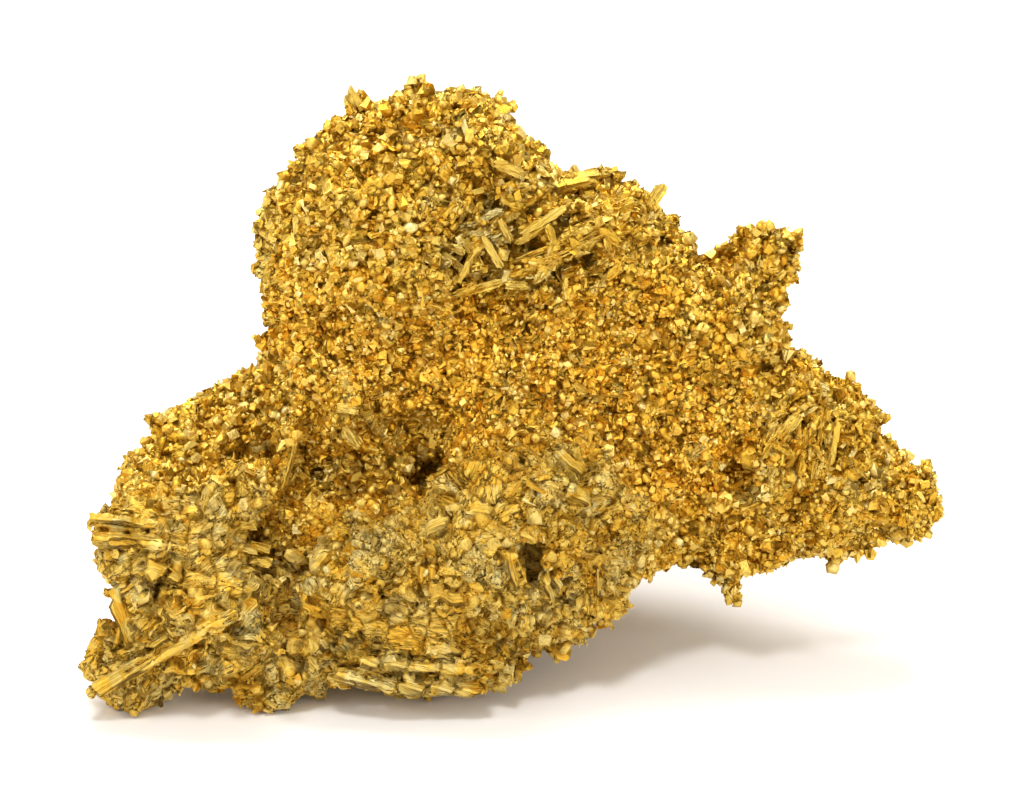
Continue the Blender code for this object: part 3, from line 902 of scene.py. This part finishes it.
def lay_laths(skins, material):
    """Lays each named lath on the nearest skin, from one end to the other, none of them floating."""
    rng = np.random.default_rng(SEED + 5)
    for make, laths in LAID.items():
        places, frames, sizes = [], [], []
        for start, end, width, thickness in laths.values():
            start, end = Vector(start) * MM, Vector(end) * MM
            facing = Vector((0, -1.2, 0.3)) if start.y < 0 else Vector((0, 1.2, 0.3))
            away = []
            for spot in (start, start.lerp(end, 0.5), end):
                hits = [skin.closest_point_on_mesh(spot) for skin in skins]
                _, nearest, normal, _ = min(hits, key=lambda hit: (hit[1] - spot).length)
                facing += normal
                away.append(spot - nearest)
            along = (end - start).normalized()
            facing = (facing - along * facing.dot(along)).normalized()
            floating = max(min(offset.dot(facing) for offset in away), 0)
            lift = facing * ((LATH_RAISED - thickness / 2) * MM - floating)
            places.append((start + end) / 2 + lift)
            frames.append(np.array([along, facing.cross(along), facing]).T)
            sizes.append(((end - start).length, width * MM, thickness * MM))
        count = len(laths)
        places = np.array(places)
        front = shelf_share(places)
        tints = 0.5 + rng.normal(0, 1, (count, 3)) * LATH_TINTS
        tints += np.stack([0 * front, -0.08 * front, 0.12 * front], axis=1)
        piece = copies(f"gold_{make.__name__}s", Growth(make()), places, np.array(frames),
                       np.array(sizes), tints, rng, LATH_UNEVEN)
        finish_piece(piece, material)


# ------------ strewing


def skin_faces(*parts):
    """Middle, normal and area of the faces to grow on, off the floor and the hollows.

    Each part is a skin, and says of each place whether things grow there.
    """
    found = []
    for obj, keep in parts:
        mesh = obj.data
        count = len(mesh.polygons)
        places, normals, areas = np.empty(count * 3), np.empty(count * 3), np.empty(count)
        mesh.polygons.foreach_get("center", places)
        mesh.polygons.foreach_get("normal", normals)
        mesh.polygons.foreach_get("area", areas)
        places, normals = places.reshape(-1, 3), normals.reshape(-1, 3)
        kept = keep(places) & (places[:, 2] > 0.7 * MM) & ~in_hollows(places)
        found.append((places[kept], normals[kept], areas[kept]))
    return [np.concatenate(part) for part in zip(*found)]


def clear_of_laths(places, sizes):
    """Whether each crystal leaves the laths bare."""
    clear = np.ones(len(places), bool)
    every = [lath for laths in (BEDDED, *LAID.values()) for lath in laths.values()]
    for start, end, width, *_ in every:
        start, end = np.array(start) * MM, np.array(end) * MM
        along = end - start
        share = np.clip((places - start) @ along / (along @ along), 0.0, 1.0)
        apart = np.linalg.norm(places - start - share[:, None] * along, axis=1)
        clear &= apart > width * MM * 0.30 + sizes * 0.30
    return clear


def rib():
    """A short ribbed lath."""
    obj = ridged(7, 5, 5, 3.0, 0.5, 0.7)
    edit_mesh(obj, lambda: bpy.ops.transform.resize(value=(2.3, 0.62, 0.5)))
    return obj


# Each kind: how it is modelled, its share, how far it leans, how much of it is sunk, and between
# what limits its axes vary.
BODY_KINDS = {
    "octahedra": (octahedron, 0.25, 1.0, 0.10, (0.7, 1.25)),
    "blocks": (block, 0.06, 1.0, 0.10, (0.6, 1.3)),
    "tablets": (tablet, 0.07, 0.9, 0.04, (0.7, 1.25)),
    "steps": (stepped, 0.13, 0.7, 0.08, (0.7, 1.25)),
    "crumbs": (crumple, 0.06, 0.9, 0.08, (0.6, 1.2)),
    "nuggets": (nugget, 0.31, 1.0, 0.12, (0.6, 1.3)),
    "blades": (blade, 0.12, 0.45, 0.02, (0.7, 1.2)),
}
SHELF_KINDS = {
    "broad_leaves": (broad_leaf, 0.14, 0.30, 0.06, (0.7, 1.35)),
    "narrow_leaves": (narrow_leaf, 0.12, 0.30, 0.05, (0.7, 1.35)),
    "shelf_crumples": (crumple, 0.24, 0.45, 0.12, (0.7, 1.3)),
    "shelf_blades": (blade, 0.05, 0.25, 0.08, (0.7, 1.2)),
    "shelf_nuggets": (nugget, 0.45, 1.0, 0.22, (0.6, 1.3)),
}
RIB_KINDS = {
    "ribs": (rib, 1.0, 0.3, 0.05, (0.7, 1.3)),
}
GRAIN_KINDS = {
    "grains": (block, 0.5, 1.0, 0.0, (0.7, 1.3)),
    "chips": (octahedron, 0.5, 1.0, 0.0, (0.7, 1.3)),
}
# Each population: its kinds, the middle and the spread of its sizes (the spread on a log scale),
# the smallest and the largest, in mm, how many are tried, how close they may stand, and how far
# their feet are raised above the skin, in mm.
BODY_CRYSTALS = (BODY_KINDS, (1.05, 0.25, 0.65, 1.7), 26000, 0.74, 0.08)
SHELF_LEAVES = (SHELF_KINDS, (1.1, 0.30, 0.6, 2.0), 1100, 0.80, -0.04)
BODY_GRAINS = (GRAIN_KINDS, (0.65, 0.2, 0.45, 0.95), 6500, 0.9, 0.15)
BODY_RIBS = (RIB_KINDS, (1.15, 0.28, 0.7, 2.0), 900, 0.85, 0.20)
FINE_SHARE = 0.75  # how much smaller crystals are in the warm patches
SLAB_SHARE = 1.2  # and how much larger in the slabby ones


def strew(material, faces, population, seed):
    """Strews a population over the faces, the largest first, none too close to another."""
    kinds, (middle, spread, smallest, largest), tries, closeness, raised = population
    rng = np.random.default_rng(seed)
    places, normals, areas = faces
    warm = patch_share(places, WARM_PATCHES)
    chance = areas * (1 + 0.8 * warm) * np.where(places[:, 1] > BACK_CUT_Y, 0.6, 1.0)
    chance *= 1 - 0.85 * layered_share(places)
    tried = rng.choice(len(places), min(tries, len(places)), replace=False,
                       p=chance / chance.sum())
    places, normals, warm = places[tried], normals[tried], warm[tried]
    sizes = np.exp(rng.normal(math.log(middle), spread, len(tried)))
    sizes = np.clip(sizes, smallest, largest) * MM
    shelf = shelf_share(places)
    sizes *= 1 - (1 - FINE_SHARE) * warm * (1 - shelf)
    sizes *= 1 + (SLAB_SHARE - 1) * patch_share(places, SLABBY_PATCHES)
    sizes *= np.where(places[:, 1] > BACK_CUT_Y, 1.25, 1.0)
    kept = np.nonzero(clear_of_laths(places, sizes))[0]
    kept = kept[spaced(places[kept], sizes[kept] / 2, closeness, np.argsort(-sizes[kept]))]
    places, normals, warm, sizes, shelf = (
        part[kept] for part in (places, normals, warm, sizes, shelf)
    )
    silver = patch_share(places, SILVERY_PATCHES)
    ways = grain_of(places, rng)
    draw = rng.random(len(kept)) * sum(kind[1] for kind in kinds.values())
    low = 0.0
    for name, (model, share, lean, sunk, vary) in kinds.items():
        mine = (draw >= low) & (draw < low + share)
        low += share
        count = int(mine.sum())
        scale = sizes[mine, None] * rng.uniform(*vary, (count, 3))
        spots = places[mine] + normals[mine] * (raised * MM - sizes[mine] * sunk)[:, None]
        frames = frames_of(normals[mine], ways[mine], lean, rng)
        tints = 0.5 + rng.normal(0, 1, (count, 3)) * CRYSTAL_TINTS
        # Painted highlight: the lighter crystals are painted paler as well, as pale as the glints on
        # lit faces.
        tints[:, 1] -= 0.6 * (tints[:, 0] - 0.5)
        tints[:, 0] += 0.42 * warm[mine]
        tints[:, 1] += 0.04 * warm[mine] - 0.10 * shelf[mine] - 0.30 * silver[mine]
        tints[:, 2] += 0.12 * shelf[mine]
        growth = Growth(model())
        piece = copies(f"gold_{name}", growth, spots, frames, scale, tints, rng, UNEVEN,
                       rounded=model is nugget)
        finish_piece(piece, material)


# ------------ materials


# Native gold's colour, from where it holds silver to where it is pure; the stains that shift it are
# about this wide. Dirt in the hairline cracks is brown; they are drawn out along the growth.
GOLD = ((0.12, "E9D68E"), (0.42, "EAC962"), (0.60, "E8BD47"), (0.88, "E2AA30"))
STAIN_SIZE = 5 * MM
CRACK_BROWN, CRACK_DEPTH, CRACK_STRETCH = "5C3C12", 0.12 * MM, 0.22


def gold_finish(name, lightness, rough, stretch, line_size, line_height, line_shade_and_dirt=1.0, crack_size=None):
    """Native gold: pale where it holds silver, orange where it is pure, with growth lines.

    lightness and rough are each what the tint's 0 and 1 give. The lines, line_size apart, are
    drawn out along each crystal's or plate's own length where stretch is below 1, and
    line_shade_and_dirt is how bright the gold is left in the low parts of them: painted shade in
    the grooves of the bump, with some grit. Hairline cracks with brown grit in them part areas of
    about crack_size.
    """
    material = bpy.data.materials.new(name)
    material.use_nodes = True
    tree = material.node_tree
    shader = tree.nodes["Principled BSDF"]
    shader.inputs["Metallic"].default_value = 1.0
    tint = add_node(tree, "ShaderNodeAttribute", {"attribute_name": TINT})
    parts = add_node(tree, "ShaderNodeSeparateColor", Color=tint.outputs["Color"])
    place = add_node(tree, "ShaderNodeTexCoord").outputs["Object"]
    stain = add_node(
        tree, "ShaderNodeTexNoise", {"Scale": 1 / STAIN_SIZE, "Detail": 4.0}, Vector=place
    )
    centred = add_node(
        tree, "ShaderNodeMath", {"operation": "MULTIPLY_ADD", 1: 0.7, 2: -0.35},
        _0=stain.outputs["Fac"],
    )
    warmth = add_node(
        tree, "ShaderNodeMath", {"operation": "ADD"},
        _0=centred.outputs[0], _1=parts.outputs["Green"],
    )
    colour = add_node(tree, "ShaderNodeValToRGB", Fac=warmth.outputs[0])
    stops = colour.color_ramp.elements
    stops[0].position, stops[1].position = GOLD[0][0], GOLD[-1][0]
    for position, _ in GOLD[1:-1]:
        stops.new(position)
    for stop, (_, hex_colour) in zip(stops, GOLD):
        stop.color = linear(hex_colour)
    shade = add_node(
        tree, "ShaderNodeMapRange", {"To Min": lightness[0], "To Max": lightness[1]},
        Value=parts.outputs["Red"],
    )
    shaded = add_node(
        tree, "ShaderNodeVectorMath", {"operation": "SCALE"},
        _0=colour.outputs["Color"], Scale=shade.outputs["Result"],
    )
    dull = add_node(
        tree, "ShaderNodeMapRange", {"To Min": rough[0], "To Max": rough[1]},
        Value=parts.outputs["Blue"],
    )
    own = add_node(tree, "ShaderNodeAttribute", {"attribute_name": GROWTH})
    drawn_out = add_node(
        tree, "ShaderNodeMapping", {"Scale": (stretch, 1.0, 0.8)}, Vector=own.outputs["Vector"]
    )
    lines = add_node(
        tree, "ShaderNodeTexNoise", {"Scale": 1 / line_size, "Detail": 4.0},
        Vector=drawn_out.outputs["Vector"],
    )
    bump = add_node(
        tree, "ShaderNodeBump", {"Strength": 1.0, "Distance": line_height},
        Height=lines.outputs["Fac"],
    )
    # Painted shade: the colour is darker in the low parts of the growth lines, where the bump shades
    # them, with some grit.
    line_shading_and_dirt = add_node(
        tree, "ShaderNodeMapRange",
        {"From Min": 0.36, "From Max": 0.52, "To Min": line_shade_and_dirt, "To Max": 1.0},
        Value=lines.outputs["Fac"],
    )
    line_shaded = add_node(
        tree, "ShaderNodeVectorMath", {"operation": "SCALE"},
        _0=shaded.outputs["Vector"], Scale=line_shading_and_dirt.outputs["Result"],
    )
    base, normal = line_shaded.outputs["Vector"], bump.outputs["Normal"]
    if crack_size:
        slow = add_node(
            tree, "ShaderNodeMapping", {"Scale": (CRACK_STRETCH, 1.0, 1.0)},
            Vector=own.outputs["Vector"],
        )
        base, normal = cracked(tree, slow.outputs["Vector"], crack_size, base, normal)
    tree.links.new(base, shader.inputs["Base Color"])
    tree.links.new(dull.outputs["Result"], shader.inputs["Roughness"])
    tree.links.new(normal, shader.inputs["Normal"])
    return material


def cracked(tree, place, size, base, normal):
    """Adds hairline cracks to a colour and a normal; they wander, and thin out here and there."""
    wander = add_node(
        tree, "ShaderNodeTexNoise", {"Scale": 1 / (0.45 * size), "Detail": 3.0}, Vector=place
    )
    reach = add_node(
        tree, "ShaderNodeVectorMath", {"operation": "MULTIPLY_ADD", 1: (size,) * 3},
        _0=wander.outputs["Color"], _2=place,
    )
    cells = add_node(
        tree, "ShaderNodeTexVoronoi", {"feature": "DISTANCE_TO_EDGE", "Scale": 1 / size},
        Vector=reach.outputs["Vector"],
    )
    fade = add_node(
        tree, "ShaderNodeTexNoise", {"Scale": 1 / (1.6 * size), "Detail": 2.0}, Vector=place
    )
    width = add_node(
        tree, "ShaderNodeMapRange",
        {"From Min": 0.38, "From Max": 0.68, "To Min": 0.01, "To Max": 0.12},
        Value=fade.outputs["Fac"],
    )
    inside = add_node(
        tree, "ShaderNodeMapRange", {"From Min": 0.0},
        **{"Value": cells.outputs["Distance"], "From Max": width.outputs["Result"]},
    )
    dirty = add_node(
        tree, "ShaderNodeMix", {"data_type": "RGBA", 6: linear(CRACK_BROWN)},
        _0=inside.outputs["Result"], _7=base,
    )
    bump = add_node(
        tree, "ShaderNodeBump", {"Strength": 1.0, "Distance": CRACK_DEPTH},
        Height=inside.outputs["Result"], Normal=normal,
    )
    return dirty.outputs[2], bump.outputs["Normal"]


def crystal_gold():
    """Crystal faces: flat and fairly bright, with faint growth lines."""
    return gold_finish("native_gold_crystals", (0.76, 1.12), (0.32, 0.60), 0.5, 0.40 * MM, 0.22 * MM)


def leaf_gold():
    """Leaves that grew against rock: matt, finely ridged."""
    return gold_finish(
        "native_gold_leaves", (0.74, 1.08), (0.46, 0.70), 0.3, 0.24 * MM, 0.18 * MM, 0.76
    )


def lath_gold():
    """Laths: striated along their length, satin."""
    return gold_finish(
        "native_gold_laths", (0.68, 1.06), (0.28, 0.54), 0.10, 0.26 * MM, 0.26 * MM, 0.68
    )


def shelf_gold():
    """The shelf: plates that grew against rock, matt, striated, full of hairline cracks."""
    return gold_finish(
        "native_gold_shelf", (0.86, 1.14), (0.50, 0.75), 0.12, 0.27 * MM, 0.32 * MM, 0.52, 1.25 * MM
    )


def mass_gold():
    """The gold between the crystals: crinkled, and darker in the cracks, where brown grit stays."""
    return gold_finish(
        "native_gold_mass", (0.66, 1.16), (0.26, 0.60), 0.12, 0.38 * MM, 0.18 * MM, 0.65, 1.4 * MM
    )


def floor_white():
    """A sheet of white studio paper: matt, very slightly warm."""
    material = bpy.data.materials.new("white_paper")
    material.use_nodes = True
    shader = material.node_tree.nodes["Principled BSDF"]
    shader.inputs["Base Color"].default_value = linear("F4F1EC")
    shader.inputs["Roughness"].default_value = 0.9
    return material


# ------------ studio

CAMERA_TARGET = Vector((-0.55, -2.84, 36.5)) * MM
CAMERA_ELEVATION = math.radians(20)
CAMERA_LENS = 100.0
CAMERA_SENSOR = 36.0
FRAME_WIDTH = 136.5 * MM  # what the frame spans at the target
BACKDROP_COLOUR, BACKDROP_STRENGTH = "F8F3E9", 0.685

# Place, width and height in metres, power in watts, and colour of each soft box.
SOFT_BOXES = {
    "top_back": ((0.0, 0.30, 0.80), 0.50, 0.36, 6.1, "F8FAFF"),
    "front_left": ((-0.75, -0.45, 0.55), 0.45, 0.45, 3.5, "F8FAFF"),
    "front_right": ((0.75, -0.55, 0.40), 0.40, 0.40, 3.0, "F8FAFF"),
    "front_top": ((-0.12, -0.40, 0.90), 0.18, 0.18, 4.0, "F8FAFF"),
}


def camera():
    data = bpy.data.cameras.new("camera")
    data.lens = CAMERA_LENS
    data.sensor_width = CAMERA_SENSOR
    obj = bpy.data.objects.new("camera", data)
    bpy.context.scene.collection.objects.link(obj)
    away = Vector((0, -math.cos(CAMERA_ELEVATION), math.sin(CAMERA_ELEVATION)))
    obj.location = CAMERA_TARGET + away * FRAME_WIDTH * CAMERA_LENS / CAMERA_SENSOR
    obj.rotation_euler = away.to_track_quat("Z", "Y").to_euler()
    bpy.context.scene.camera = obj


def soft_box(name, place, width, height, power, colour):
    data = bpy.data.lights.new(name, "AREA")
    data.shape = "RECTANGLE"
    data.size = width
    data.size_y = height
    data.energy = power
    data.color = linear(colour)[:3]
    obj = bpy.data.objects.new(name, data)
    bpy.context.scene.collection.objects.link(obj)
    obj.location = place
    obj.rotation_euler = (obj.location - CAMERA_TARGET).to_track_quat("Z", "Y").to_euler()


def studio():
    bpy.ops.mesh.primitive_plane_add(size=6.0, location=(0, 0, 0))
    floor = bpy.context.object
    floor.name = "floor"
    floor.data.materials.append(floor_white())
    world = bpy.data.worlds.new("studio")
    bpy.context.scene.world = world
    world.use_nodes = True
    backdrop = world.node_tree.nodes["Background"]
    backdrop.inputs["Color"].default_value = linear(BACKDROP_COLOUR)
    backdrop.inputs["Strength"].default_value = BACKDROP_STRENGTH
    for name, values in SOFT_BOXES.items():
        soft_box(name, *values)
    bpy.context.scene.view_settings.view_transform = "Standard"


# ------------ making


def on_shelf(places):
    return (shelf_share(places) > 0.5) & (places[:, 1] < SHELF_CUT_Y - MM)


def off_shelf(places):
    return shelf_share(places) <= 0.5


def beside_shelf(places):
    clear = (places[:, 1] < SHELF_CUT_Y - MM) & (places[:, 2] < SHELF_CUT_Z - MM)
    return off_shelf(places) & clear


def in_slabs(places):
    return patch_share(places, SLABBY_PATCHES) > 0.25


noise.seed_set(SEED)  # without this, noise_vector would differ from run to run
camera()
studio()
shelf, front, back = [gold_skin(name, *values) for name, values in SKINS.items()]
make_active(shelf)
bpy.ops.object.shade_smooth_by_angle(angle=CREASE)
mass_finish = mass_gold()
for skin, finish in ((shelf, shelf_gold()), (front, mass_finish), (back, mass_finish)):
    finish_piece(skin, finish)
    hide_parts(NODE)
lath_finish = lath_gold()
lay_laths((shelf, front, back), lath_finish)
crystals = crystal_gold()
body_faces = skin_faces((front, off_shelf), (back, off_shelf), (shelf, beside_shelf))
shelf_faces = skin_faces((shelf, on_shelf))
slab_faces = skin_faces((front, in_slabs))
strew(lath_finish, slab_faces, BODY_RIBS, SEED + 3)
strew(crystals, body_faces, BODY_CRYSTALS, SEED)
strew(leaf_gold(), shelf_faces, SHELF_LEAVES, SEED + 1)
strew(crystals, body_faces, BODY_GRAINS, SEED + 2)
